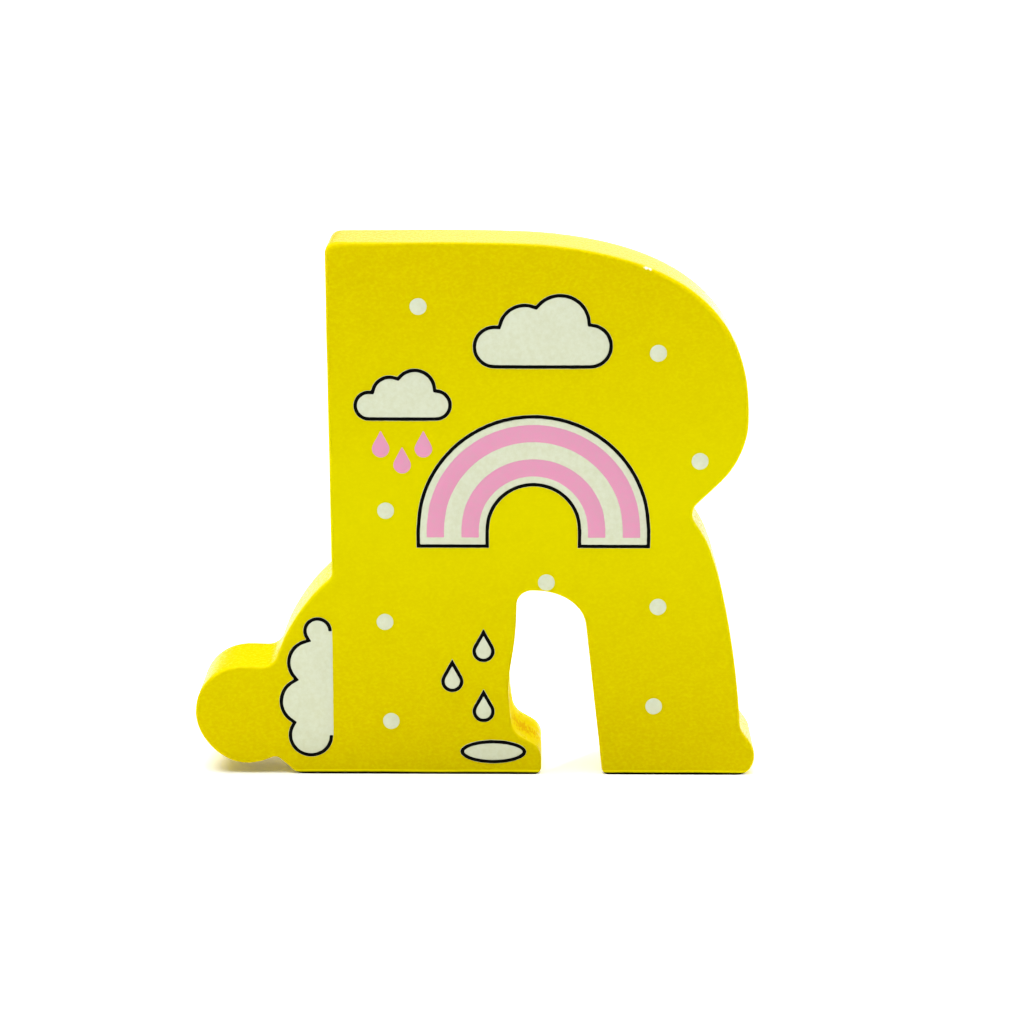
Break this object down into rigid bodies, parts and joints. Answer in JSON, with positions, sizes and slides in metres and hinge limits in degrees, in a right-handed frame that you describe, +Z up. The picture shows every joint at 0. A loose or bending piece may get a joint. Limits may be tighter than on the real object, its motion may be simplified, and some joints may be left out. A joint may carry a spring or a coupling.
{
  "type": "wooden letter",
  "caption": "Stand-up wooden letter R sawn from one thick board, lacquered yellow, with polka dots and a printed weather picture on its front.",
  "frame": {"origin": "middle of the letter's box on the plane that it stands on", "axes": "+Z up, the printed front faces -Y, +X to the right of a reader"},
  "size_m": [0.1042, 0.0172, 0.1],
  "materials": {
    "yellow_lacquer": "satin lacquer over sanded board, sawn edges softened",
    "cream_ink": "screen-printed ink film, satin",
    "pink_ink": "screen-printed ink film, satin",
    "black_ink": "screen-printed ink film, satin"
  },
  "bodies": {
    "root": {"cloud_bank_ground": "cream_ink", "cloud_bank_line": "black_ink", "dot_arch": "cream_ink", "dot_bowl_lower": "cream_ink", "dot_bowl_upper": "cream_ink", "dot_leg_lower": "cream_ink", "dot_leg_upper": "cream_ink", "dot_stem_base": "cream_ink", "dot_stem_lower": "cream_ink", "dot_stem_middle": "cream_ink", "dot_stem_top": "cream_ink", "large_cloud_ground": "cream_ink", "large_cloud_line": "black_ink", "leg_drop_lower_ground": "cream_ink", "leg_drop_lower_line": "black_ink", "leg_drop_middle_ground": "cream_ink", "leg_drop_middle_line": "black_ink", "leg_drop_upper_ground": "cream_ink", "leg_drop_upper_line": "black_ink", "letter_block": "yellow_lacquer", "pink_drop_left": "pink_ink", "pink_drop_middle": "pink_ink", "pink_drop_right": "pink_ink", "puddle_ground": "cream_ink", "puddle_line": "black_ink", "rainbow_ground": "cream_ink", "rainbow_inner_band": "pink_ink", "rainbow_line": "black_ink", "rainbow_outer_band": "pink_ink", "small_cloud_ground": "cream_ink", "small_cloud_line": "black_ink"}
  },
  "joints": []
}
